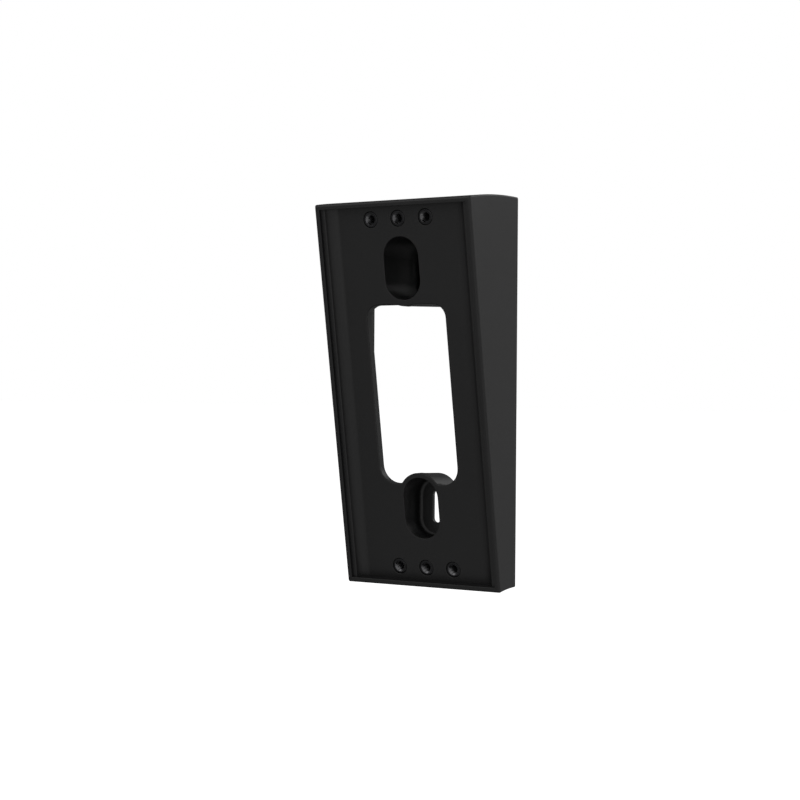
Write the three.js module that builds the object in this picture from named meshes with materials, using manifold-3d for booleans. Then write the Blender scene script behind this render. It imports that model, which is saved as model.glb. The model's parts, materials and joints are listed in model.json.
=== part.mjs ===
// Angled wall mount for a slim wired video doorbell.
//
// A moulded housing leans the doorbell down by a few degrees. Its front is a shallow tray that the
// doorbell drops into, its back is hollow and open to the wall, and two deep slotted pockets take
// the wall screws. Six threaded inserts in the tray floor take the screws of the doorbell.
//
// Millimetres, +X to the right, +Y into the wall, +Z up. The wall plane is Y = 0. The origin is on
// the centre line of the wall face, halfway through the lower wall.

import * as THREE from "three";
import { mergeVertices } from "three/addons/utils/BufferGeometryUtils.js";
import Module from "manifold-3d";

// Body
const WIDTH = 46;
const LENGTH = 101;
const TILT = 10; // degrees between the wall plane and the front plane
const PIVOT_DROP = 50; // from the lower edge down to the line where the two planes meet
const WALL = 2.6;
const EDGE_CHAMFER = 0.6;

// Tray in the front
const RIM = 1.4; // width of the rim beside the tray
const END_RIM = 1.4; // width of the rim above and below the tray
const LEDGE_DEPTH = 0.7;
const LEDGE = 1.2;
const TRAY_DEPTH = 3;
const COVE_RUN = 3.1; // width of the hollow curve from the ledge down to the tray floor
const PLATE = 2.2;

// Slotted pockets for the wall screws
const LOWER_SLOT_RISE = 20; // lower edge to slot centre
const UPPER_SLOT_DROP = 19; // upper edge to slot centre
const SLOT_WIDTH = 10.2;
const SLOT_LENGTH = 16;
const POCKET_WALL = 1;
const DRAFT = 2; // degrees
const POCKET_FILLET = 1.1; // round the bottom of the pocket
const PAD = 1.2; // thickness of the pad that the screw head bears on
const SCREW_SLOT_WIDTH = 2.4;
const SCREW_SLOT_TRAVEL = 6.2; // distance between the centres of the slot's round ends
const RIB = 1.2;
const RIB_SETBACK = 1;

// Window for the doorbell wires
const WINDOW_WIDTH = 23.3;
const WINDOW_ABOVE_LOWER_SLOT = 6.4;
const WINDOW_BELOW_UPPER_SLOT = 9.2;
const WINDOW_UPPER_RADIUS = 3.5;
const WINDOW_LOWER_RADIUS = 4.6;

// Threaded inserts
const INSERT_PITCH = 8.1;
const INSERTS_PER_ROW = 3;
const LOWER_ROW_RISE = 4.5; // lower edge to row, along the front
const UPPER_ROW_DROP = 4.7; // upper edge to row, along the front
const INSERT_DIAMETER = 3.6;
const INSERT_LENGTH = 4;
const INSERT_BORE = 2.1;
const INSERT_ENTRY = 2.9;
const INSERT_SINK = 0.15; // below the tray floor
const INSERT_GROOVE = 0.25;
const CLEARANCE = 0.3; // all round an insert
const INSERT_BOSS_WALL = 1.2;
const INSERT_BOSS_END = 0.8;

// Roundness of the mesh
const ROUND_STEPS = 32;
const COVE_STEPS = 6;
const END_STEPS = 8;
const FILLET_STEPS = 3;
const PAST = 1; // how far a cut runs past the face that it opens

const tilt = THREE.MathUtils.degToRad(TILT);
const draftSlope = Math.tan(THREE.MathUtils.degToRad(DRAFT));
const halfWidth = WIDTH / 2;
const upperRadius = PIVOT_DROP + LENGTH;
const plateBack = TRAY_DEPTH + PLATE;
const lowerSlotZ = LOWER_SLOT_RISE;
const upperSlotZ = LENGTH - UPPER_SLOT_DROP;
const pastEverything = WIDTH + LENGTH + PIVOT_DROP;
const insertTop = TRAY_DEPTH + INSERT_SINK;
const insertPocketDepth = insertTop + INSERT_LENGTH + CLEARANCE;
const insertPocketRadius = INSERT_DIAMETER / 2 + CLEARANCE;

// Drawing frames. In the wall frame a drawing's x is across, y is up and height comes out of the
// wall. In the front frame y is the distance from the pivot line and height stands on the front.
const wallFrame = new THREE.Matrix4().makeRotationX(Math.PI / 2);
const frontFrame = new THREE.Matrix4()
  .makeTranslation(0, 0, -PIVOT_DROP)
  .multiply(new THREE.Matrix4().makeRotationX(Math.PI / 2 + tilt));
const sideFrame = new THREE.Matrix4().makeBasis(
  new THREE.Vector3(0, -1, 0),
  new THREE.Vector3(0, 0, 1),
  new THREE.Vector3(-1, 0, 0),
);
const acrossTray = new THREE.Matrix4().makeBasis(
  new THREE.Vector3(1, 0, 0),
  new THREE.Vector3(0, 0, 1),
  new THREE.Vector3(0, -1, 0),
);

const wasm = await Module();
wasm.setup();

function solid(geometry, matrix = new THREE.Matrix4()) {
  const bare = geometry.clone().applyMatrix4(matrix);
  bare.deleteAttribute("normal");
  bare.deleteAttribute("uv");
  const merged = mergeVertices(bare, 1e-4);
  const mesh = new wasm.Mesh({
    numProp: 3,
    vertProperties: merged.attributes.position.array,
    triVerts: new Uint32Array(merged.index.array),
  });
  return new wasm.Manifold(mesh);
}

function geometryOf(manifold) {
  const mesh = manifold.getMesh();
  const geometry = new THREE.BufferGeometry();
  geometry.setAttribute("position", new THREE.BufferAttribute(mesh.vertProperties, 3));
  geometry.setIndex(new THREE.BufferAttribute(mesh.triVerts, 1));
  geometry.computeVertexNormals();
  return geometry;
}

// A straight-sided block between a lower and an upper outline with the same number of points.
function prism(lowerOutline, upperOutline, lower, upper) {
  const count = lowerOutline.length;
  const positions = [];
  for (const point of lowerOutline) {
    positions.push(point.x, point.y, lower);
  }
  for (const point of upperOutline) {
    positions.push(point.x, point.y, upper);
  }
  const faces = [];
  for (const [a, b, c] of THREE.ShapeUtils.triangulateShape(lowerOutline, [])) {
    faces.push(a, c, b);
    faces.push(a + count, b + count, c + count);
  }
  for (let i = 0; i < count; i += 1) {
    const next = (i + 1) % count;
    faces.push(i, next, next + count);
    faces.push(i, next + count, i + count);
  }
  const geometry = new THREE.BufferGeometry();
  geometry.setAttribute("position", new THREE.Float32BufferAttribute(positions, 3));
  geometry.setIndex(faces);
  return geometry;
}

function block(outline, lower, upper) {
  return prism(outline, outline, lower, upper);
}

function moved(outline, x, y) {
  return outline.map((point) => new THREE.Vector2(point.x + x, point.y + y));
}

// A rectangle with its own radius at the upper and the lower corners, drawn counter-clockwise.
function roundedRectangle(width, low, high, lowRadius, highRadius) {
  const half = width / 2;
  const steps = ROUND_STEPS / 4;
  const corners = [
    [half - highRadius, high - highRadius, highRadius, 0],
    [highRadius - half, high - highRadius, highRadius, 1],
    [lowRadius - half, low + lowRadius, lowRadius, 2],
    [half - lowRadius, low + lowRadius, lowRadius, 3],
  ];
  const outline = [];
  for (const [x, y, radius, quarter] of corners) {
    for (let i = 0; i <= steps; i += 1) {
      const angle = (Math.PI / 2) * (quarter + i / steps);
      outline.push(new THREE.Vector2(x + radius * Math.cos(angle), y + radius * Math.sin(angle)));
    }
  }
  return outline;
}

function rectangle(width, low, high) {
  const half = width / 2;
  return [
    new THREE.Vector2(half, low),
    new THREE.Vector2(half, high),
    new THREE.Vector2(-half, high),
    new THREE.Vector2(-half, low),
  ];
}

// A slot outline: two half circles whose centres are the travel apart, one above the other.
function slotOutline(width, travel) {
  const radius = width / 2;
  const steps = ROUND_STEPS / 2;
  const outline = [];
  for (const end of [0, 1]) {
    const centre = end === 0 ? travel / 2 : -travel / 2;
    for (let i = 0; i <= steps; i += 1) {
      const angle = Math.PI * (end + i / steps);
      outline.push(new THREE.Vector2(radius * Math.cos(angle), centre + radius * Math.sin(angle)));
    }
  }
  return outline;
}

function aboutPivot(radius, angle) {
  return new THREE.Vector2(radius * Math.sin(angle), radius * Math.cos(angle) - PIVOT_DROP);
}

// The side view of the wedge: two arcs about the pivot line, inset by a wall.
function wedgeOutline(inset, firstAngle) {
  const outline = [];
  for (let i = 0; i <= END_STEPS; i += 1) {
    outline.push(aboutPivot(upperRadius - inset, THREE.MathUtils.lerp(tilt, firstAngle, i / END_STEPS)));
  }
  for (let i = 0; i <= END_STEPS; i += 1) {
    outline.push(aboutPivot(PIVOT_DROP + inset, THREE.MathUtils.lerp(firstAngle, tilt, i / END_STEPS)));
  }
  return outline;
}

function wedge() {
  const body = solid(block(wedgeOutline(0, 0), -halfWidth, halfWidth), sideFrame);
  const faceWidth = WIDTH - 2 * EDGE_CHAMFER;
  const faceLow = PIVOT_DROP + EDGE_CHAMFER;
  const faceHigh = upperRadius - EDGE_CHAMFER;
  const flare = pastEverything;
  const chamfers = prism(
    rectangle(faceWidth + 2 * flare, faceLow - flare, faceHigh + flare),
    rectangle(faceWidth, faceLow, faceHigh),
    -flare,
    0,
  );
  return body.intersect(solid(chamfers, frontFrame));
}

// Everything behind a plane that lies a given depth below the front plane.
function behindFront(depth) {
  const outline = rectangle(2 * pastEverything, -pastEverything, pastEverything);
  return solid(block(outline, -pastEverything, -depth), frontFrame);
}

function trayOutline() {
  const rimEdge = halfWidth - RIM;
  const ledgeEdge = rimEdge - LEDGE;
  const coveEdge = ledgeEdge - COVE_RUN;
  const fall = TRAY_DEPTH - LEDGE_DEPTH;
  const radius = (COVE_RUN * COVE_RUN + fall * fall) / (2 * fall);
  const sweep = Math.asin(Math.min(1, COVE_RUN / radius));
  const rimStep = [new THREE.Vector2(rimEdge, -LEDGE_DEPTH), new THREE.Vector2(rimEdge, PAST)];
  const cove = [];
  for (let i = 0; i <= COVE_STEPS; i += 1) {
    const angle = sweep * (i / COVE_STEPS);
    const across = coveEdge + radius * Math.sin(angle);
    cove.push(new THREE.Vector2(across, radius * (1 - Math.cos(angle)) - TRAY_DEPTH));
  }
  const half = [...cove, ...rimStep];
  const mirrored = half.map((point) => new THREE.Vector2(-point.x, point.y)).reverse();
  return [...half, ...mirrored];
}

function tray() {
  const length = LENGTH - 2 * END_RIM;
  const matrix = frontFrame.clone()
    .multiply(new THREE.Matrix4().makeTranslation(0, PIVOT_DROP + LENGTH / 2, 0))
    .multiply(acrossTray);
  return solid(block(trayOutline(), -length / 2, length / 2), matrix);
}

function hollow() {
  const cavity = solid(block(wedgeOutline(WALL, -tilt / 4), WALL - halfWidth, halfWidth - WALL), sideFrame);
  return cavity.intersect(behindFront(plateBack));
}

function window() {
  const low = lowerSlotZ + WINDOW_ABOVE_LOWER_SLOT;
  const high = upperSlotZ - WINDOW_BELOW_UPPER_SLOT;
  const outline = roundedRectangle(WINDOW_WIDTH, low, high, WINDOW_LOWER_RADIUS, WINDOW_UPPER_RADIUS);
  return solid(block(outline, -PAST, pastEverything), wallFrame);
}

function slotPocket(centreZ) {
  const travel = SLOT_LENGTH - SLOT_WIDTH;
  const outerWidth = SLOT_WIDTH + 2 * POCKET_WALL;
  const grown = outerWidth + 2 * pastEverything * draftSlope;
  const shell = solid(prism(
    moved(slotOutline(outerWidth, travel), 0, centreZ),
    moved(slotOutline(grown, travel), 0, centreZ),
    0,
    pastEverything,
  ), wallFrame);
  const rib = solid(block(
    moved(rectangle(WIDTH - WALL, -RIB / 2, RIB / 2), 0, centreZ),
    RIB_SETBACK,
    pastEverything,
  ), wallFrame);
  return shell.add(rib);
}

function slotBore(centreZ) {
  const travel = SLOT_LENGTH - SLOT_WIDTH;
  let bore = solid(block(
    moved(slotOutline(SLOT_WIDTH, travel), 0, centreZ),
    PAD + POCKET_FILLET,
    pastEverything,
  ), wallFrame);
  const fillet = [];
  for (let i = 0; i <= FILLET_STEPS; i += 1) {
    const angle = (Math.PI / 2) * (i / FILLET_STEPS);
    const width = SLOT_WIDTH - 2 * POCKET_FILLET * (1 - Math.cos(angle));
    const outline = moved(slotOutline(width, travel), 0, centreZ);
    fillet.push({ outline, height: PAD + POCKET_FILLET * (1 - Math.sin(angle)) });
  }
  for (let i = 0; i < FILLET_STEPS; i += 1) {
    const upper = fillet[i];
    const lower = fillet[i + 1];
    const layer = prism(lower.outline, upper.outline, lower.height, upper.height);
    bore = bore.add(solid(layer, wallFrame));
  }
  const screwSlot = solid(block(
    moved(slotOutline(SCREW_SLOT_WIDTH, SCREW_SLOT_TRAVEL), 0, centreZ),
    -PAST,
    PAD + PAST,
  ), wallFrame);
  return bore.add(screwSlot);
}

function insertPlaces() {
  const places = [];
  for (const [row, along] of [["lower", LOWER_ROW_RISE], ["upper", LENGTH - UPPER_ROW_DROP]]) {
    for (let i = 0; i < INSERTS_PER_ROW; i += 1) {
      const across = (i - (INSERTS_PER_ROW - 1) / 2) * INSERT_PITCH;
      places.push({ name: `${row}_insert_${i + 1}`, across, along });
    }
  }
  return places;
}

// A round bar standing on the front plane's frame at one insert, between two depths.
function barAtInsert(place, radius, shallow, deep) {
  const bar = new THREE.CylinderGeometry(radius, radius, deep - shallow, ROUND_STEPS);
  bar.rotateX(Math.PI / 2);
  bar.translate(place.across, PIVOT_DROP + place.along, -(shallow + deep) / 2);
  return solid(bar, frontFrame);
}

function housingGeometry() {
  let body = wedge().subtract(tray()).subtract(hollow()).subtract(window());
  let supports = slotPocket(lowerSlotZ).add(slotPocket(upperSlotZ));
  for (const place of insertPlaces()) {
    const radius = insertPocketRadius + INSERT_BOSS_WALL;
    supports = supports.add(barAtInsert(place, radius, TRAY_DEPTH, insertPocketDepth + INSERT_BOSS_END));
  }
  body = body.add(supports.intersect(behindFront(TRAY_DEPTH)).intersect(wedge()));
  body = body.subtract(slotBore(lowerSlotZ)).subtract(slotBore(upperSlotZ));
  for (const place of insertPlaces()) {
    body = body.subtract(barAtInsert(place, insertPocketRadius, -PAST, insertPocketDepth));
  }
  return geometryOf(body);
}

// A turned insert: chamfered entry, waist groove, and a plain bore that stands for its thread.
function insertGeometry() {
  const outer = INSERT_DIAMETER / 2;
  const bore = INSERT_BORE / 2;
  const entry = INSERT_ENTRY / 2;
  const waist = outer - INSERT_GROOVE;
  const groove = INSERT_LENGTH / 6;
  const middle = -INSERT_LENGTH / 2;
  const profile = [
    [bore, -INSERT_LENGTH],
    [waist, -INSERT_LENGTH],
    [outer, INSERT_GROOVE - INSERT_LENGTH],
    [outer, middle - groove],
    [waist, middle - groove / 2],
    [waist, middle + groove / 2],
    [outer, middle + groove],
    [outer, 0],
    [entry, 0],
    [bore, bore - entry],
    [bore, -INSERT_LENGTH],
  ];
  const points = profile.map(([radius, height]) => new THREE.Vector2(radius, height));
  const turned = new THREE.LatheGeometry(points, ROUND_STEPS);
  turned.rotateX(Math.PI / 2);
  return geometryOf(solid(turned));
}

const moulding = new THREE.MeshStandardMaterial({
  color: 0x1b1c1d,
  roughness: 0.5,
  metalness: 0,
  flatShading: true,
});
const blackenedMetal = new THREE.MeshStandardMaterial({
  color: 0x3a3b3d,
  roughness: 0.3,
  metalness: 1,
  flatShading: true,
});

const mount = new THREE.Group();
mount.position.z = -WALL / 2;

const housing = new THREE.Mesh(housingGeometry(), moulding);
housing.name = "wedge_housing";
mount.add(housing);

const front = new THREE.Group();
front.applyMatrix4(frontFrame);
mount.add(front);
for (const place of insertPlaces()) {
  const insert = new THREE.Mesh(insertGeometry(), blackenedMetal);
  insert.name = place.name;
  insert.position.set(place.across, PIVOT_DROP + place.along, -insertTop);
  front.add(insert);
}

const part = new THREE.Group();
part.name = "angled_doorbell_mount";
part.add(mount);

export default part;
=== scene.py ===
"""Angled wall mount for a slim wired video doorbell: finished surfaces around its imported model.

The housing is one black moulding and six turned inserts sit in its tray floor. Meshes are drawn in
millimetres in the row frame and scaled to metres when they are done: +X to the right, +Y into the
wall, +Z up, with the wall plane at Y = 0.
"""

import json
import logging
import math
from collections.abc import Iterable, Sequence
from dataclasses import dataclass, field
from enum import Enum

import bmesh
import bpy
from mathutils import Matrix, Vector


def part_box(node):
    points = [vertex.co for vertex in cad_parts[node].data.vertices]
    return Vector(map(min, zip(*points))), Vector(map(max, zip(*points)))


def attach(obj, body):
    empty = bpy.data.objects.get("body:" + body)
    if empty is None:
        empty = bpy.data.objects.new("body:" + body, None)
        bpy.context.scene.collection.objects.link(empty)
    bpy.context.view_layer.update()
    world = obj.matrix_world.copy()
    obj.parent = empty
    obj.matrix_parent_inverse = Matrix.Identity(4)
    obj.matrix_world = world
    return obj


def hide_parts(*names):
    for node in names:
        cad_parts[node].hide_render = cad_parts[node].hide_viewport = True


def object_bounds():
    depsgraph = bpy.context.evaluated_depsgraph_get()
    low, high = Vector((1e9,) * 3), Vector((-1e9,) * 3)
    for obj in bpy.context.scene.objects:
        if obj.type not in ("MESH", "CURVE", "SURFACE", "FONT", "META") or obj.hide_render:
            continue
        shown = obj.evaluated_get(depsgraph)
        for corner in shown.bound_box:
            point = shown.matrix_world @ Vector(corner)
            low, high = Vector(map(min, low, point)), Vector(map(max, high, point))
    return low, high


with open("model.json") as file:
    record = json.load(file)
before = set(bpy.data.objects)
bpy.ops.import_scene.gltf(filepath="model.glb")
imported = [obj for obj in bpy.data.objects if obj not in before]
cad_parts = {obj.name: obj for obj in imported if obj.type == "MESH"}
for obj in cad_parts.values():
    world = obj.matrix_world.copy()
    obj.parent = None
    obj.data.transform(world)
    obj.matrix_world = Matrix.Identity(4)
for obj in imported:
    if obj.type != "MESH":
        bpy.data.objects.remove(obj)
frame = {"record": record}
CAD_LOW, CAD_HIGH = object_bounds()

MM = 0.001
BODY = "root"
QUARTER = math.pi / 2
LOG = logging.getLogger("doorbell_mount")

Outline = list[tuple[float, float]]
Ring = list[Vector]


class Combine(Enum):
    """How one solid changes another."""

    ADD = "UNION"
    CUT = "DIFFERENCE"


# ---------------------------------------------------------------- drawing in the flat


def arc(centre: tuple[float, float], radius: float, start: float, end: float, steps: int) -> Outline:
    """Points along an arc, both ends included.

    Args:
        centre: Middle of the arc.
        radius: Its radius.
        start: First angle in radians.
        end: Last angle in radians.
        steps: Number of straight steps.

    Returns:
        The points in order.
    """
    angles = [start + (end - start) * i / steps for i in range(steps + 1)]
    return [(centre[0] + radius * math.cos(a), centre[1] + radius * math.sin(a)) for a in angles]


def quarter_round(radius: float, steps: int) -> Outline:
    """The two distances along a rounded edge, from the face it leaves to the side it joins.

    Args:
        radius: Radius of the edge.
        steps: Number of straight steps.

    Returns:
        How far each point is in from the side, and how far it is below the face.
    """
    angles = [QUARTER * i / steps for i in range(steps + 1)]
    return [(radius * (1 - math.sin(a)), radius * (1 - math.cos(a))) for a in angles]


def rounded_rectangle(half_width: float, low: float, high: float, radius: float, steps: int) -> Outline:
    """A counter-clockwise rectangle with round corners.

    Args:
        half_width: Half of its width.
        low: Lower edge.
        high: Upper edge.
        radius: Corner radius.
        steps: Steps in each corner.

    Returns:
        The outline.
    """
    x = half_width - radius
    corners = [(x, high - radius), (-x, high - radius), (-x, low + radius), (x, low + radius)]
    points: Outline = []
    for quarter, centre in enumerate(corners):
        points += arc(centre, radius, QUARTER * quarter, QUARTER * (quarter + 1), steps)
    return points


def slot(width: float, travel: float, centre_z: float, steps: int) -> Outline:
    """A counter-clockwise upright slot with round ends.

    Args:
        width: Its width.
        travel: Distance between the centres of its ends.
        centre_z: Height of its middle.
        steps: Steps in each round end.

    Returns:
        The outline.
    """
    radius = width / 2
    upper = arc((0, centre_z + travel / 2), radius, 0, math.pi, steps)
    return upper + arc((0, centre_z - travel / 2), radius, math.pi, 2 * math.pi, steps)


def grown(outline: Outline, distance: float | Sequence[float]) -> Outline:
    """The outline moved outwards along its own normals.

    Args:
        outline: A counter-clockwise outline.
        distance: How far, for all points or for each.

    Returns:
        The moved outline, with the same number of points.
    """
    count = len(outline)
    distances = [distance] * count if isinstance(distance, (int, float)) else distance
    moved: Outline = []
    for i, (x, z) in enumerate(outline):
        before = Vector(outline[i - 1])
        after = Vector(outline[(i + 1) % count])
        here = Vector((x, z))
        first = (here - before).normalized()
        second = (after - here).normalized()
        normal = Vector((first.y + second.y, -first.x - second.x)).normalized()
        reach = distances[i] / max(0.5, normal.dot(Vector((first.y, -first.x))))
        moved.append((x + normal.x * reach, z + normal.y * reach))
    return moved


# ---------------------------------------------------------------- the two planes


@dataclass(frozen=True)
class FrontPlane:
    """The leaning front plane, which meets the wall plane along a level line below the mount.

    Attributes:
        line_z: Height of that line.
        tilt: Angle between the planes, in radians.
    """

    line_z: float
    tilt: float

    @classmethod
    def of_rim(cls) -> "FrontPlane":
        """The plane of the rim that the record states as a mount."""
        rim = mount_named("doorbell_rim")
        _, y, z = (value / MM for value in rim["pos_m"])
        _, normal_y, normal_z = rim["axis"]
        return cls(line_z=z + y * normal_y / normal_z, tilt=math.atan2(-normal_z, -normal_y))

    def point(self, across: float, along: float, depth: float) -> Vector:
        """A point at a depth behind the plane, at a distance along it from the meeting line."""
        y = depth * math.cos(self.tilt) - along * math.sin(self.tilt)
        z = along * math.cos(self.tilt) + depth * math.sin(self.tilt)
        return Vector((across, y, self.line_z + z))

    def y_at(self, z: float, depth: float) -> float:
        """The Y of the plane at a height, moved back by a depth."""
        return (depth - math.sin(self.tilt) * (z - self.line_z)) / math.cos(self.tilt)

    def swung(self, across: float, radius: float, angle: float) -> Vector:
        """A point at a radius from the meeting line and an angle from the wall plane."""
        return Vector((across, -radius * math.sin(angle), self.line_z + radius * math.cos(angle)))


def mount_named(name: str) -> dict:
    """The record's mount of that name."""
    return next(m for m in frame["record"]["mounts"] if m["name"] == name)


# ---------------------------------------------------------------- meshes


def mesh_object(name: str, verts: Iterable[Vector], faces: Iterable[Sequence[int]]) -> bpy.types.Object:
    """A new mesh object with its normals facing out.

    Args:
        name: Its name.
        verts: Points in millimetres.
        faces: Corner indices of each face.

    Returns:
        The object, linked to the scene.
    """
    data = bpy.data.meshes.new(name)
    data.from_pydata([tuple(v) for v in verts], [], [tuple(f) for f in faces])
    made = bmesh.new()
    made.from_mesh(data)
    bmesh.ops.recalc_face_normals(made, faces=made.faces[:])
    made.to_mesh(data)
    made.free()
    thing = bpy.data.objects.new(name, data)
    bpy.context.scene.collection.objects.link(thing)
    return thing


def loft(name: str, rings: Sequence[Ring]) -> bpy.types.Object:
    """A closed solid through rings that have the same number of points."""
    count = len(rings[0])
    faces: list[Sequence[int]] = [tuple(range(count))]
    for level in range(len(rings) - 1):
        low = level * count
        for i in range(count):
            after = (i + 1) % count
            faces.append((low + i, low + after, low + count + after, low + count + i))
    faces.append(tuple(range((len(rings) - 1) * count, len(rings) * count)))
    return mesh_object(name, [v for ring in rings for v in ring], faces)


def combine(body: bpy.types.Object, tool: bpy.types.Object, how: Combine) -> None:
    """Adds the tool to the body or cuts it away, and removes the tool."""
    change = body.modifiers.new("combine", "BOOLEAN")
    change.operation = how.value
    change.solver = "MANIFOLD"
    change.object = tool
    graph = bpy.context.evaluated_depsgraph_get()
    data = bpy.data.meshes.new_from_object(body.evaluated_get(graph))
    body.modifiers.clear()
    old = body.data
    body.data = data
    bpy.data.meshes.remove(old)
    spare = tool.data
    bpy.data.objects.remove(tool)
    bpy.data.meshes.remove(spare)


def finish_mesh(thing: bpy.types.Object, merge: float, crease: float) -> None:
    """Cleans a solid, scales it to metres and smooths its rounds.

    Args:
        thing: A mesh object in millimetres.
        merge: Points closer than this, in millimetres, become one.
        crease: Edges that turn more than this, in radians, stay sharp.
    """
    made = bmesh.new()
    made.from_mesh(thing.data)
    bmesh.ops.remove_doubles(made, verts=made.verts[:], dist=merge)
    bmesh.ops.dissolve_degenerate(made, edges=made.edges[:], dist=merge)
    bmesh.ops.scale(made, vec=(MM, MM, MM), verts=made.verts[:])
    for face in made.faces:
        face.smooth = True
    made.to_mesh(thing.data)
    made.free()
    thing.data.set_sharp_from_angle(angle=crease)
    weigh = thing.modifiers.new("even_shading", "WEIGHTED_NORMAL")
    weigh.keep_sharp = True
    weigh.weight = 80


# ---------------------------------------------------------------- housing


@dataclass
class Housing:
    """The one-piece moulding: outer wedge, tray, window, screw pockets, ribs and insert bosses.

    Sizes are in millimetres. The overall box, the lean and the pads come from the frame. A rib is
    rib_root times as thick at its root, window_clearance keeps a pocket inside the window's blend,
    and a cut runs out beyond what it cuts by past.
    """

    front: FrontPlane
    wall: float = 2.6
    lip_round: float = 0.66
    rim_round: float = 0.15
    end_rim_round: float = 0.15
    ledge_round: float = 0.3
    corner_round: float = 0.45
    back_round: float = 0.15
    edge_round: float = 0.22
    hollow_fillet: float = 0.8
    hollow_corner: float = 1.2
    rim: float = 1.4
    end_rim: float = 1.4
    end_rim_lap: float = 0.1
    ledge_depth: float = 0.7
    ledge: float = 1.2
    tray_depth: float = 3.0
    cove_run: float = 3.1
    plate: float = 2.2
    slot_width: float = 10.2
    slot_length: float = 16.0
    pocket_wall: float = 1.0
    pocket_fillet: float = 1.1
    draft: float = math.radians(2)
    screw_slot_width: float = 2.4
    screw_slot_travel: float = 6.2
    screw_slot_edge: float = 0.08
    rib: float = 1.2
    rib_root: float = 1.3
    rib_setback: float = 1.0
    window_width: float = 23.3
    window_above_slot: float = 6.4
    window_below_slot: float = 9.2
    window_upper_radius: float = 3.5
    window_lower_radius: float = 4.6
    window_blend: float = 1.0
    window_edge: float = 0.3
    window_clearance: float = 0.06
    insert_pocket: float = 4.2
    insert_pocket_depth: float = 7.45
    insert_boss_wall: float = 1.2
    insert_boss_end: float = 0.8
    insert_boss_flare: float = 0.05
    insert_pocket_edge: float = 0.15
    round_steps: int = 5
    hole_steps: int = 28
    sweep_steps: int = 14
    past: float = 2.0
    half_width: float = field(init=False)
    low: float = field(init=False)
    high: float = field(init=False)
    pad: float = field(init=False)
    slot_heights: tuple[float, float] = field(init=False)

    def __post_init__(self) -> None:
        """Reads the frame: the box of the moulding and the two screw pads."""
        _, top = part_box("wedge_housing")
        self.half_width = top.x / MM
        self.low = -self.wall / 2 - self.front.line_z
        self.high = top.z / MM - self.front.line_z
        pads = [mount_named(f"{row}_wall_screw_pad") for row in ("lower", "upper")]
        self.pad = -pads[0]["pos_m"][1] / MM
        self.slot_heights = (pads[0]["pos_m"][2] / MM, pads[1]["pos_m"][2] / MM)

    @property
    def travel(self) -> float:
        """Distance between the centres of a screw pocket's round ends."""
        return self.slot_length - self.slot_width

    @property
    def joint_depth(self) -> float:
        """Depth in the middle of the plate, where what stands behind it starts."""
        return self.tray_depth + self.plate / 2

    def build(self) -> bpy.types.Object:
        """Makes the whole moulding.

        Returns:
            The finished mesh object, in metres.
        """
        body = self.wedge()
        combine(body, self.hollow(), Combine.CUT)
        combine(body, self.window(), Combine.CUT)
        for height in self.slot_heights:
            combine(body, self.rib_pair(height), Combine.ADD)
            combine(body, self.pocket_shell(height), Combine.ADD)
        for number, centre in enumerate(self.insert_places()):
            combine(body, self.insert_boss(number, centre), Combine.ADD)
        combine(body, self.tray(), Combine.CUT)
        for end in (self.low, self.high):
            combine(body, self.end_rim_cut(end), Combine.CUT)
        for height in self.slot_heights:
            combine(body, self.pocket_bore(height), Combine.CUT)
            combine(body, self.screw_slot(height), Combine.CUT)
        for number, centre in enumerate(self.insert_places()):
            combine(body, self.insert_bore(number, centre), Combine.CUT)
        body.name = "housing"
        finish_mesh(body, merge=0.004, crease=math.radians(35))
        return body

    # rings about the meeting line of the two planes

    def shell_outline(self, inset: float, radius: float) -> Outline:
        """Across and along, the outline of the body inset by a distance."""
        return rounded_rectangle(
            self.half_width - inset,
            self.low + inset,
            self.high - inset,
            radius,
            self.round_steps,
        )

    def ring_in_front(self, outline: Outline, depth: float) -> Ring:
        """The outline swung about the meeting line until it lies at a depth behind the front."""
        return [
            self.front.swung(x, r, self.front.tilt - math.asin(depth / r)) for x, r in outline
        ]

    def ring_at_wall(self, outline: Outline, distance: float) -> Ring:
        """The outline swung about the meeting line until it is a distance out from the wall."""
        return [self.front.swung(x, r, math.asin(distance / r)) for x, r in outline]

    def swept_rings(self, outline: Outline, depth: float, distance: float) -> list[Ring]:
        """Rings between a depth behind the front and a distance from the wall."""
        rings = []
        for i in range(1, self.sweep_steps):
            share = i / self.sweep_steps
            ring = []
            for x, r in outline:
                first = self.front.tilt - math.asin(depth / r)
                last = math.asin(distance / r)
                ring.append(self.front.swung(x, r, first + (last - first) * share))
            rings.append(ring)
        return rings

    def wedge(self) -> bpy.types.Object:
        """The solid wedge with its rounded front and back edges."""
        rings = []
        for inset, depth in quarter_round(self.lip_round, self.round_steps):
            rings.append(self.ring_in_front(self.shell_outline(inset, self.corner_round), depth))
        plain = self.shell_outline(0, self.corner_round)
        rings += self.swept_rings(plain, self.lip_round, self.back_round)
        for distance, inset in quarter_round(self.back_round, self.round_steps):
            rings.append(self.ring_at_wall(self.shell_outline(inset, self.corner_round), distance))
        return loft("wedge", rings)

    def hollow(self) -> bpy.types.Object:
        """The space behind the tray, open to the wall, with a fillet round its floor."""
        floor = self.tray_depth + self.plate
        fillet = self.hollow_fillet
        corner = self.hollow_corner
        rings = []
        for inset, drop in quarter_round(fillet, self.round_steps):
            outline = self.shell_outline(self.wall + inset, corner)
            rings.append(self.ring_in_front(outline, floor + drop))
        plain = self.shell_outline(self.wall, corner)
        rings += self.swept_rings(plain, floor + fillet, self.edge_round)
        for distance, inset in quarter_round(self.edge_round, self.round_steps):
            outline = self.shell_outline(self.wall - inset, corner)
            rings.append(self.ring_at_wall(outline, distance))
        mouth = self.shell_outline(self.wall - self.edge_round, corner)
        rings.append(self.ring_at_wall(mouth, -self.past))
        return loft("hollow", rings)

    # rings square to the wall

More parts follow.
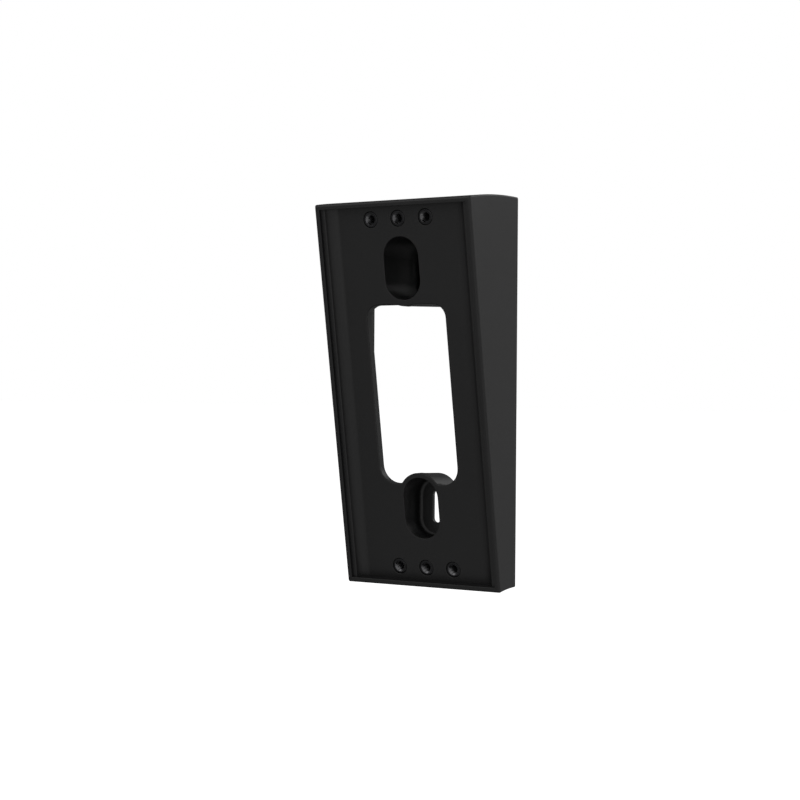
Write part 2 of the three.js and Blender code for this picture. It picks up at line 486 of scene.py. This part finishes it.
    def ring_on_slope(self, outline: Outline, depth: float) -> Ring:
        """An upright outline carried square to the wall onto a plane behind the front."""
        return [Vector((x, self.front.y_at(z, depth), z)) for x, z in outline]

    def lipped_rings(self, outline: Outline, edge: float) -> list[Ring]:
        """Rings of a cut that opens in the tray floor through a rounded edge."""
        rings = [self.ring_on_slope(grown(outline, edge), -self.past)]
        for reach, drop in quarter_round(edge, self.round_steps):
            rings.append(self.ring_on_slope(grown(outline, reach), self.tray_depth + drop))
        return rings

    def pocket_radius(self, distance: float) -> float:
        """Outer radius of a screw pocket at a distance out from the wall."""
        return self.slot_width / 2 + self.pocket_wall + distance * math.tan(self.draft)

    def window_outline(self) -> Outline:
        """The window, with the two screw pockets standing into its lower and upper edge."""
        half = self.window_width / 2
        low = self.slot_heights[0] + self.window_above_slot
        high = self.slot_heights[1] - self.window_below_slot
        blend = self.window_blend
        steps = self.round_steps * 2
        lower_z = self.slot_heights[0] + self.travel / 2
        upper_z = self.slot_heights[1] - self.travel / 2
        lower = self.pocket_radius(-self.front.y_at(low, self.joint_depth))
        upper = self.pocket_radius(-self.front.y_at(high, self.joint_depth))
        lower_x = math.sqrt((lower + blend) ** 2 - (low + blend - lower_z) ** 2)
        upper_x = math.sqrt((upper + blend) ** 2 - (upper_z - high + blend) ** 2)
        lean = math.atan2(low + blend - lower_z, lower_x)
        tip = math.atan2(upper_z - high + blend, upper_x)
        corner, crown = self.window_lower_radius, self.window_upper_radius
        points = arc((-lower_x, low + blend), blend, -QUARTER, -lean, steps)
        points += arc((0, lower_z), lower, math.pi - lean, lean, self.hole_steps)[1:-1]
        points += arc((lower_x, low + blend), blend, math.pi + lean, 3 * QUARTER, steps)
        points += arc((half - corner, low + corner), corner, -QUARTER, 0, steps)
        points += arc((half - crown, high - crown), crown, 0, QUARTER, steps)
        points += arc((upper_x, high - blend), blend, QUARTER, math.pi - tip, steps)
        points += arc((0, upper_z), upper, -tip, tip - math.pi, steps)[1:-1]
        points += arc((-upper_x, high - blend), blend, tip, QUARTER, steps)
        points += arc((crown - half, high - crown), crown, QUARTER, math.pi, steps)
        points += arc((corner - half, low + corner), corner, math.pi, 3 * QUARTER, steps)
        return points

    def window(self) -> bpy.types.Object:
        """The opening for the wires, square to the wall, with a rounded front edge."""
        outline = self.window_outline()
        rings = self.lipped_rings(outline, self.window_edge)
        rings.append([Vector((x, self.past, z)) for x, z in outline])
        return loft("window", rings)

    def pocket_shell(self, height: float) -> bpy.types.Object:
        """The drafted tube round one screw pocket, from the wall plane into the plate."""
        width = 2 * self.pocket_radius(0) - self.window_clearance
        outline = slot(width, self.travel, height, self.hole_steps)
        rings = []
        for inset, distance in quarter_round(self.edge_round, self.round_steps):
            rings.append([Vector((x, -distance, z)) for x, z in grown(outline, -inset)])
        slopes = [-self.front.y_at(z, self.joint_depth) * math.tan(self.draft) for _, z in outline]
        rings.append(self.ring_on_slope(grown(outline, slopes), self.joint_depth))
        return loft("pocket_shell", rings)

    def pocket_bore(self, height: float) -> bpy.types.Object:
        """The inside of one screw pocket, down to its pad."""
        outline = slot(self.slot_width, self.travel, height, self.hole_steps)
        rings = self.lipped_rings(outline, self.edge_round)
        for rise, inset in quarter_round(self.pocket_fillet, self.round_steps * 2):
            y = -self.pad - rise
            rings.append([Vector((x, y, z)) for x, z in grown(outline, -inset)])
        return loft("pocket_bore", rings)

    def screw_slot(self, height: float) -> bpy.types.Object:
        """The slot through one pad, with a rounded front edge."""
        outline = slot(self.screw_slot_width, self.screw_slot_travel, height, self.hole_steps)
        stations = [(self.pad + self.past, self.screw_slot_edge)]
        for reach, drop in quarter_round(self.screw_slot_edge, self.round_steps):
            stations.append((self.pad - drop, reach))
        stations.append((-self.past, 0.0))
        rings = []
        for distance, reach in stations:
            rings.append([Vector((x, -distance, z)) for x, z in grown(outline, reach)])
        return loft("screw_slot", rings)

    def rib_pair(self, height: float) -> bpy.types.Object:
        """A thin rib from wall to wall behind one screw pocket, with a round free edge."""
        half = self.rib / 2
        reach = self.half_width - self.wall / 2
        edge = (0, self.rib_setback + half)
        section = arc(edge, half, math.pi, 2 * math.pi, self.round_steps * 2)
        rings = []
        for side in (-reach, reach):
            ring = [Vector((side, -distance, height + z)) for z, distance in section]
            for z in (height + half * self.rib_root, height - half * self.rib_root):
                ring.append(Vector((side, self.front.y_at(z, self.joint_depth), z)))
            rings.append(ring)
        return loft("rib_pair", rings)

    # the tray

    def tray_outline(self) -> Outline:
        """Across and depth, the section of the tray: rim step, ledge, cove and floor."""
        rim_edge = self.half_width - self.rim
        fall = self.tray_depth - self.ledge_depth
        radius = (self.cove_run**2 + fall**2) / (2 * fall)
        middle = (rim_edge - self.ledge - self.cove_run, self.tray_depth - radius)
        bend = self.ledge_round
        turn_depth = self.ledge_depth + bend
        turn_x = middle[0] + math.sqrt((radius + bend) ** 2 - (turn_depth - middle[1]) ** 2)
        lean = math.atan2(turn_depth - middle[1], turn_x - middle[0])
        steps = self.round_steps
        edge = self.rim_round
        cove = arc(middle, radius, QUARTER, lean, steps * 4)
        brow = arc((turn_x, turn_depth), bend, math.pi + lean, 3 * QUARTER, steps)
        step = [(rim_edge, self.ledge_depth)]
        lip = arc((rim_edge + edge, edge), edge, math.pi, 3 * QUARTER, steps * 2)
        half = cove + brow[1:] + step + lip + [(rim_edge + edge, -self.past)]
        return half + [(-x, depth) for x, depth in reversed(half)]

    def tray(self) -> bpy.types.Object:
        """The shallow tray that the doorbell drops into."""
        outline = self.tray_outline()
        rings = []
        for along in (self.low + self.end_rim, self.high - self.end_rim):
            rings.append([self.front.point(x, along, depth) for x, depth in outline])
        return loft("tray", rings)

    def end_rim_cut(self, end: float) -> bpy.types.Object:
        """What is taken off the inner edge of the rim at one end of the tray."""
        inward = 1 if end == self.low else -1
        inner = end + inward * self.end_rim
        edge = self.end_rim_round
        corner = arc((-edge, edge), edge, -QUARTER, 0, self.round_steps)
        lap = self.end_rim_lap
        section = [(lap, -self.past), (-edge, -self.past)] + corner + [(lap, edge)]
        reach = self.half_width - self.rim
        rings = []
        for side in (-reach, reach):
            rings.append([self.front.point(side, inner + inward * a, d) for a, d in section])
        return loft("end_rim_cut", rings)

    # seats of the inserts

    def insert_places(self) -> list[Vector]:
        """Across and along of each insert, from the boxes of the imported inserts."""
        places = []
        for row in ("lower", "upper"):
            for number in (1, 2, 3):
                low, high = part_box(f"{row}_insert_{number}")
                middle = (low + high) / 2 / MM
                along = (middle.z - self.front.line_z) * math.cos(self.front.tilt)
                along -= middle.y * math.sin(self.front.tilt)
                places.append(Vector((middle.x, along)))
        return places

    def round_bar(self, name: str, centre: Vector, stations: Outline) -> bpy.types.Object:
        """A turned bar square to the front plane.

        Args:
            name: Its name.
            centre: Across and along of its axis.
            stations: Depth and radius of each ring.

        Returns:
            The bar.
        """
        count = 2 * self.hole_steps
        turns = [2 * math.pi * i / count for i in range(count)]
        rings = []
        for depth, radius in stations:
            ring = []
            for turn in turns:
                across = centre.x + radius * math.cos(turn)
                ring.append(self.front.point(across, centre.y + radius * math.sin(turn), depth))
            rings.append(ring)
        return loft(name, rings)

    def insert_boss(self, number: int, centre: Vector) -> bpy.types.Object:
        """The boss behind the plate that one insert is set in."""
        end = self.insert_pocket_depth + self.insert_boss_end
        radius = self.insert_pocket / 2 + self.insert_boss_wall
        stations = [(self.joint_depth, radius + self.insert_boss_flare)]
        for rise, inset in quarter_round(self.edge_round, self.round_steps):
            stations.append((end - rise, radius - inset))
        return self.round_bar(f"insert_boss_{number}", centre, stations)

    def insert_bore(self, number: int, centre: Vector) -> bpy.types.Object:
        """The hole that one insert is pressed into, with a rounded mouth."""
        radius = self.insert_pocket / 2
        edge = self.insert_pocket_edge
        stations = [(-self.past, radius + edge)]
        for reach, drop in quarter_round(edge, self.round_steps):
            stations.append((self.tray_depth + drop, radius + reach))
        stations.append((self.insert_pocket_depth, radius))
        return self.round_bar(f"insert_bore_{number}", centre, stations)


# ---------------------------------------------------------------- inserts


@dataclass
class ThreadedInsert:
    """One turned and knurled metal insert.

    Sizes are in millimetres. Heights run down from its face, so all of them are below nought.
    """

    node: str
    front: FrontPlane
    outside: float = 3.96
    length: float = 4.0
    entry: float = 2.9
    bore: float = 2.1
    thread_depth: float = 0.2
    pitch: float = 0.45
    knurl_depth: float = 0.14
    knurls: int = 24
    knurl_top: float = -0.7
    groove_top: float = -1.9
    groove_bottom: float = -2.4
    groove_depth: float = 0.25
    bevel: float = 0.1
    foot_chamfer: float = 0.25
    face_round: float = 0.07
    round_share: float = 0.02
    runout: float = 0.3
    thread_rows: int = 8
    crease: float = math.radians(40)
    sink: float = 0.15
    tray_depth: float = 3.0
    turns: int = 96

    def stations(self) -> list[tuple[float, float, bool, bool]]:
        """Each ring's height and radius, and whether it is knurled or threaded."""
        outer, bore, entry = self.outside / 2, self.bore / 2, self.entry / 2
        waist = outer - self.groove_depth
        chamfer = entry - bore
        foot = self.foot_chamfer - self.length
        small, large = self.round_share, self.face_round
        plain = [
            (-self.length, bore),
            (-self.length, waist),
            (foot, outer),
            (foot + self.bevel, outer),
            (self.groove_bottom - self.bevel, outer),
            (self.groove_bottom, waist),
            (self.groove_top, waist),
            (self.groove_top + self.bevel, outer),
            (self.knurl_top, outer),
            (self.knurl_top + self.bevel, outer),
            (-large, outer),
            (-small, outer - small),
            (0.0, outer - large),
            (0.0, entry + large - 0.01),
            (-small, entry + small / 2),
            (-large, entry - large + 0.03),
            (-chamfer, bore + small),
        ]
        knurled = {3, 4, 7, 8}
        rows = [(height, radius, i in knurled, False) for i, (height, radius) in enumerate(plain)]
        first = -chamfer - 0.05
        count = int((self.length - chamfer - self.runout) / self.pitch * self.thread_rows)
        for i in range(count + 1):
            rows.append((first - i * self.pitch / self.thread_rows, bore, False, True))
        return rows

    def build(self) -> bpy.types.Object:
        """Makes the insert in its place.

        Returns:
            The finished mesh object, in metres.
        """
        low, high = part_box(self.node)
        middle = (low + high) / 2 / MM
        out = Vector((0, -math.cos(self.front.tilt), -math.sin(self.front.tilt)))
        up = Vector((0, -math.sin(self.front.tilt), math.cos(self.front.tilt)))
        along = (middle - Vector((0, 0, self.front.line_z))).dot(up)
        face = self.front.point(middle.x, along, self.tray_depth + self.sink)
        rows = self.stations()
        points = []
        for height, radius, knurled, threaded in rows:
            for i in range(self.turns):
                turn = 2 * math.pi * i / self.turns
                r = radius
                if knurled:
                    r -= self.knurl_depth * abs(math.sin(turn * self.knurls / 2))
                if threaded:
                    share = (height / self.pitch + i / self.turns) % 1.0
                    r += self.thread_depth * (1 - abs(2 * share - 1))
                across = Vector((r * math.cos(turn), 0, 0))
                points.append(face + across + up * (r * math.sin(turn)) + out * height)
        faces = []
        for level in range(len(rows)):
            low_row = level * self.turns
            next_row = ((level + 1) % len(rows)) * self.turns
            for i in range(self.turns):
                after = (i + 1) % self.turns
                faces.append((low_row + i, low_row + after, next_row + after, next_row + i))
        insert = mesh_object(self.node.replace("insert", "threaded_insert"), points, faces)
        mouth = max(i for i, row in enumerate(rows) if row[1] > self.entry / 2)
        # Faces from the mouth inwards take the second material, the lighter bore metal: bare cut metal that
        # also paints sheen into the bore.
        for polygon in insert.data.polygons:
            polygon.material_index = int(polygon.index >= mouth * self.turns)
        finish_mesh(insert, merge=0.0005, crease=self.crease)
        return insert


# ---------------------------------------------------------------- finishes


def socket_group(name: str, inputs: dict[str, float], outputs: Sequence[str]) -> bpy.types.NodeTree:
    """A new shader group with its sockets made.

    Args:
        name: Name of the group.
        inputs: Number inputs and their usual values.
        outputs: Number outputs.

    Returns:
        The node tree with a Group Input and a Group Output node.
    """
    tree = bpy.data.node_groups.new(name, "ShaderNodeTree")
    for label, value in inputs.items():
        made = tree.interface.new_socket(name=label, in_out="INPUT", socket_type="NodeSocketFloat")
        made.default_value = value
    for label in outputs:
        tree.interface.new_socket(name=label, in_out="OUTPUT", socket_type="NodeSocketFloat")
    tree.nodes.new("NodeGroupInput")
    tree.nodes.new("NodeGroupOutput")
    return tree


def arithmetic(tree: bpy.types.NodeTree, operation: str, *values: object) -> bpy.types.NodeSocket:
    """A Math node fed by sockets or numbers; returns its output."""
    node = tree.nodes.new("ShaderNodeMath")
    node.operation = operation
    for slot_in, value in zip(node.inputs, values):
        if isinstance(value, (int, float)):
            slot_in.default_value = value
        else:
            tree.links.new(value, slot_in)
    return node.outputs[0]


def noise(tree: bpy.types.NodeTree, scale: object, detail: float, roughness: float) -> bpy.types.NodeSocket:
    """A noise pattern in the object's own coordinates; returns its grey output."""
    place = tree.nodes.new("ShaderNodeTexCoord")
    node = tree.nodes.new("ShaderNodeTexNoise")
    node.inputs["Detail"].default_value = detail
    node.inputs["Roughness"].default_value = roughness
    tree.links.new(place.outputs["Object"], node.inputs["Vector"])
    if isinstance(scale, (int, float)):
        node.inputs["Scale"].default_value = scale
    else:
        tree.links.new(scale, node.inputs["Scale"])
    return node.outputs["Fac"]


def surface_grain() -> bpy.types.NodeTree:
    """The fine grain that a spark-eroded mould or a turning tool leaves, as a height."""
    tree = socket_group("surface_grain", {"Grains per metre": 4000.0, "Waviness": 0.2}, ["Height"])
    given = tree.nodes["Group Input"]
    fine = noise(tree, given.outputs["Grains per metre"], 3.0, 0.6)
    slow = arithmetic(tree, "MULTIPLY", given.outputs["Grains per metre"], 0.06)
    coarse = noise(tree, slow, 2.0, 0.5)
    wave = arithmetic(tree, "MULTIPLY", coarse, given.outputs["Waviness"])
    height = arithmetic(tree, "ADD", fine, wave)
    tree.links.new(height, tree.nodes["Group Output"].inputs["Height"])
    return tree


def handling_marks() -> bpy.types.NodeTree:
    """Soft patches where a surface has been handled, as a mask from nought to one."""
    tree = socket_group("handling_marks", {"Patches per metre": 60.0, "Contrast": 1.0}, ["Mask"])
    given = tree.nodes["Group Input"]
    patches = noise(tree, given.outputs["Patches per metre"], 5.0, 0.65)
    centred = arithmetic(tree, "SUBTRACT", patches, 0.5)
    spread = arithmetic(tree, "MULTIPLY", centred, given.outputs["Contrast"])
    mask = arithmetic(tree, "ADD", spread, 0.5)
    clamp = tree.nodes.new("ShaderNodeClamp")
    tree.links.new(mask, clamp.inputs["Value"])
    tree.links.new(clamp.outputs[0], tree.nodes["Group Output"].inputs["Mask"])
    return tree


@dataclass(frozen=True)
class Finish:
    """A surface finish built from the two shared groups.

    Attributes:
        name: Name of the material.
        slot: The record's material slot.
        dark: Base colour where the marks are low, linear.
        light: Base colour where the marks are high, linear.
        smooth: Lowest roughness.
        rough: Highest roughness.
        metallic: Metallic value.
        grains: Grains per metre.
        waviness: Share of the slow wave in the grain.
        bump: Depth of the grain in metres.
        patches: Handling patches per metre.
        contrast: Contrast of the patches.
    """

    name: str
    slot: str
    dark: tuple[float, float, float]
    light: tuple[float, float, float]
    smooth: float
    rough: float
    metallic: float
    grains: float
    waviness: float
    bump: float
    patches: float
    contrast: float = 1.6

    def material(self, groups: dict[str, bpy.types.NodeTree]) -> bpy.types.Material:
        """Builds the material.

        Args:
            groups: The shared node groups by name.

        Returns:
            The material.
        """
        made = bpy.data.materials.new(self.name)
        made.use_nodes = True
        tree = made.node_tree
        shader = tree.nodes["Principled BSDF"]
        shader.inputs["Metallic"].default_value = self.metallic
        marks = tree.nodes.new("ShaderNodeGroup")
        marks.node_tree = groups["handling_marks"]
        marks.inputs["Patches per metre"].default_value = self.patches
        marks.inputs["Contrast"].default_value = self.contrast
        colour = tree.nodes.new("ShaderNodeMix")
        colour.data_type = "RGBA"
        colour.inputs["A"].default_value = (*self.dark, 1)
        colour.inputs["B"].default_value = (*self.light, 1)
        tree.links.new(marks.outputs["Mask"], colour.inputs["Factor"])
        tree.links.new(colour.outputs["Result"], shader.inputs["Base Color"])
        gloss = tree.nodes.new("ShaderNodeMapRange")
        gloss.inputs["To Min"].default_value = self.smooth
        gloss.inputs["To Max"].default_value = self.rough
        tree.links.new(marks.outputs["Mask"], gloss.inputs["Value"])
        tree.links.new(gloss.outputs["Result"], shader.inputs["Roughness"])
        grain = tree.nodes.new("ShaderNodeGroup")
        grain.node_tree = groups["surface_grain"]
        grain.inputs["Grains per metre"].default_value = self.grains
        grain.inputs["Waviness"].default_value = self.waviness
        bump = tree.nodes.new("ShaderNodeBump")
        bump.inputs["Distance"].default_value = self.bump
        tree.links.new(grain.outputs["Height"], bump.inputs["Height"])
        tree.links.new(bump.outputs["Normal"], shader.inputs["Normal"])
        return made


MOULDED_BLACK = Finish(
    name="moulded_black_plastic",
    slot="moulding",
    dark=(0.0085, 0.0085, 0.0088),
    light=(0.0105, 0.0105, 0.0108),
    smooth=0.36,
    rough=0.44,
    metallic=0.0,
    grains=5200.0,
    waviness=0.35,
    bump=0.000012,
    patches=45.0,
)
BLACKENED_METAL = Finish(
    name="blackened_turned_metal",
    slot="insert_metal",
    dark=(0.030, 0.030, 0.0315),
    light=(0.055, 0.055, 0.0575),
    smooth=0.18,
    rough=0.28,
    metallic=1.0,
    grains=9000.0,
    waviness=0.2,
    bump=0.000003,
    patches=300.0,
)
# Bare cut metal inside the insert bores, partly painted sheen: its base colour is lighter than the
# blackened face, so the bore interior also carries painted reflected light off its walls.
BORE_CUT_METAL_AND_PAINTED_SHEEN = Finish(
    name="cut_metal_and_painted_sheen_in_the_bore",
    slot="insert_metal",
    dark=(0.14, 0.14, 0.145),
    light=(0.22, 0.22, 0.225),
    smooth=0.2,
    rough=0.3,
    metallic=1.0,
    grains=9000.0,
    waviness=0.2,
    bump=0.000003,
    patches=300.0,
)


# ---------------------------------------------------------------- assembly


@dataclass
class DoorbellMount:
    """The whole mount: its moulding and its two rows of inserts."""

    front: FrontPlane
    groups: dict[str, bpy.types.NodeTree]

    def build(self) -> None:
        """Builds every piece, dresses it and lets it ride on the one body."""
        plastic = MOULDED_BLACK.material(self.groups)
        # The second metal is the lighter bore metal, partly bare cut metal and partly painted sheen.
        metals = [finish.material(self.groups) for finish in (BLACKENED_METAL, BORE_CUT_METAL_AND_PAINTED_SHEEN)]
        self.place(Housing(self.front).build(), "wedge_housing", [plastic], MOULDED_BLACK.slot)
        for row in ("lower", "upper"):
            for number in (1, 2, 3):
                node = f"{row}_insert_{number}"
                insert = ThreadedInsert(node, self.front).build()
                self.place(insert, node, metals, BLACKENED_METAL.slot)

    def place(
        self,
        piece: bpy.types.Object,
        node: str,
        materials: Sequence[bpy.types.Material],
        slot_name: str,
    ) -> None:
        """Gives a piece its materials and its body, and hides the CAD node that it stands for.

        Args:
            piece: The finished mesh object.
            node: The CAD node.
            materials: Its materials, in the order that its faces number them.
            slot_name: The record's material slot; not used.
        """
        polygons = piece.data.polygons
        chosen = [min(polygon.material_index, len(materials) - 1) for polygon in polygons]
        piece.data.materials.clear()
        for material in materials:
            piece.data.materials.append(material)
        polygons.foreach_set("material_index", chosen)
        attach(piece, BODY)
        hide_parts(node)
        LOG.info("%s: %d faces, in place of %s", piece.name, len(piece.data.polygons), node)


# ---------------------------------------------------------------- studio


def direction(azimuth: float, elevation: float) -> Vector:
    """The way from the mount to a place round it, from two angles in degrees."""
    around, above = math.radians(azimuth), math.radians(elevation)
    level = math.cos(above)
    return Vector((math.sin(around) * level, -math.cos(around) * level, math.sin(above)))


@dataclass(frozen=True)
class Lamp:
    """A soft panel light that faces the mount.

    Attributes:
        name: Its name.
        azimuth: Degrees round the mount, 0 in front and 90 on its right.
        elevation: Degrees above its middle.
        radiance: Brightness of the panel itself.
        distance: Metres from its middle.
        width: Metres across.
        height: Metres up.
    """

    name: str
    azimuth: float
    elevation: float
    radiance: float
    distance: float = 1.0
    width: float = 0.62
    height: float = 0.55

    def build(self, target: Vector) -> bpy.types.Object:
        """Makes the panel, facing the target."""
        data = bpy.data.lights.new(self.name, "AREA")
        data.shape = "RECTANGLE"
        data.size = self.width
        data.size_y = self.height
        data.energy = self.radiance * math.pi * self.width * self.height
        away = direction(self.azimuth, self.elevation)
        thing = bpy.data.objects.new(self.name, data)
        thing.location = target + away * self.distance
        thing.rotation_euler = away.to_track_quat("Z", "Y").to_euler()
        thing.visible_camera = False
        bpy.context.scene.collection.objects.link(thing)
        return thing


LAMPS = (
    Lamp("right_key", azimuth=120, elevation=30, radiance=2.19),
    Lamp("left_front_high", azimuth=-40, elevation=30, radiance=0.77),
    Lamp("left_overhead", azimuth=-45, elevation=62, radiance=0.75),
    Lamp("back_wash", azimuth=160, elevation=30, radiance=0.74),
    Lamp("right_back_low", azimuth=120, elevation=-5, radiance=0.64),
    Lamp("front_high", azimuth=0, elevation=30, radiance=0.55),
    Lamp("front_low", azimuth=0, elevation=-5, radiance=0.57),
    Lamp("right_front_low", azimuth=40, elevation=-5, radiance=0.48),
    Lamp("right_low", azimuth=80, elevation=-5, radiance=0.45),
    Lamp("right_overhead", azimuth=45, elevation=62, radiance=0.45),
    Lamp("right_front_under", azimuth=40, elevation=-40, radiance=0.36),
    Lamp("right_front_high", azimuth=40, elevation=30, radiance=0.45),
    Lamp("back_under", azimuth=160, elevation=-40, radiance=0.25),
    Lamp("front_under", azimuth=0, elevation=-40, radiance=0.24),
    Lamp("left_front_under", azimuth=-40, elevation=-40, radiance=0.17),
    Lamp("left_front_low", azimuth=-40, elevation=-5, radiance=0.17),
    Lamp("right_high", azimuth=80, elevation=30, radiance=0.29),
    Lamp("back_low", azimuth=160, elevation=-5, radiance=0.17),
    Lamp("right_under", azimuth=80, elevation=-40, radiance=0.16),
    Lamp("back_overhead", azimuth=135, elevation=62, radiance=0.09),
    Lamp("left_high", azimuth=-80, elevation=30, radiance=0.13),
    Lamp("left_low", azimuth=-80, elevation=-5, radiance=0.11),
)


@dataclass
class Studio:
    """Plain pale floor, soft light and the camera."""

    middle: Vector
    ambient: float = 0.115
    floor_drop: float = 0.12
    floor_half: float = 12.0
    azimuth: float = 30.888
    elevation: float = 0.42
    roll: float = 0.393
    distance: float = 0.4307
    lens: float = 74.29
    aim: tuple[float, float, float] = (-0.0046, -0.0128, 0.047)

    def build(self) -> None:
        """Builds the floor, the light and the camera."""
        self.build_floor()
        self.build_world()
        for lamp in LAMPS:
            lamp.build(self.middle)
        self.build_camera()
        view = bpy.context.scene.view_settings
        view.view_transform = "Standard"
        view.look = "None"

    def build_floor(self) -> None:
        """A wide level floor below the mount, pale and evenly lit."""
        z = (CAD_LOW.z - self.floor_drop) / MM
        half = self.floor_half / MM
        square = ((-half, -half), (half, -half), (half, half), (-half, half))
        corners = [Vector((x, y, z)) for x, y in square]
        floor = mesh_object("studio_floor", corners, [(0, 1, 2, 3)])
        floor.data.transform(Matrix.Scale(MM, 4))
        floor.data.materials.append(self.pale())
        floor.visible_diffuse = False
        floor.visible_glossy = False
        floor.visible_transmission = False
        floor.visible_shadow = False

    def pale(self) -> bpy.types.Material:
        """The floor's material, which glows for the camera alone."""
        material = bpy.data.materials.new("pale_floor")
        material.use_nodes = True
        tree = material.node_tree
        shader = tree.nodes["Principled BSDF"]
        shader.inputs["Base Color"].default_value = (0.8, 0.8, 0.8, 1)
        shader.inputs["Roughness"].default_value = 0.9
        shader.inputs["Emission Color"].default_value = (1, 1, 1, 1)
        rays = tree.nodes.new("ShaderNodeLightPath")
        tree.links.new(rays.outputs["Is Camera Ray"], shader.inputs["Emission Strength"])
        return material

    def build_world(self) -> None:
        """A white surround that lights the mount only faintly."""
        world = bpy.data.worlds.new("studio")
        world.use_nodes = True
        bpy.context.scene.world = world
        tree = world.node_tree
        backdrop = tree.nodes["Background"]
        backdrop.inputs["Color"].default_value = (1, 1, 1, 1)
        rays = tree.nodes.new("ShaderNodeLightPath")
        strength = tree.nodes.new("ShaderNodeMapRange")
        strength.inputs["To Min"].default_value = self.ambient
        strength.inputs["To Max"].default_value = 1.0
        tree.links.new(rays.outputs["Is Camera Ray"], strength.inputs["Value"])
        tree.links.new(strength.outputs["Result"], backdrop.inputs["Strength"])

    def build_camera(self) -> None:
        """The camera, slightly to the right of the mount and level with its middle."""
        back = direction(self.azimuth, self.elevation)
        around = math.radians(self.azimuth)
        right = Vector((math.cos(around), math.sin(around), 0.0))
        up = back.cross(right)
        lean = math.radians(self.roll)
        level_right = right * math.cos(lean) + up * math.sin(lean)
        level_up = up * math.cos(lean) - right * math.sin(lean)
        data = bpy.data.cameras.new("camera")
        data.lens = self.lens
        data.clip_start = 0.01
        data.clip_end = 100.0
        camera = bpy.data.objects.new("camera", data)
        turn = Matrix((level_right, level_up, back)).transposed().to_4x4()
        camera.matrix_world = Matrix.Translation(Vector(self.aim) + back * self.distance) @ turn
        bpy.context.scene.collection.objects.link(camera)
        bpy.context.scene.camera = camera


def main() -> None:
    """Builds the mount and the studio around it."""
    logging.basicConfig(level=logging.INFO, format="%(message)s")
    groups = {"surface_grain": surface_grain(), "handling_marks": handling_marks()}
    DoorbellMount(FrontPlane.of_rim(), groups).build()
    Studio((CAD_LOW + CAD_HIGH) / 2).build()


if __name__ == "__main__":
    main()
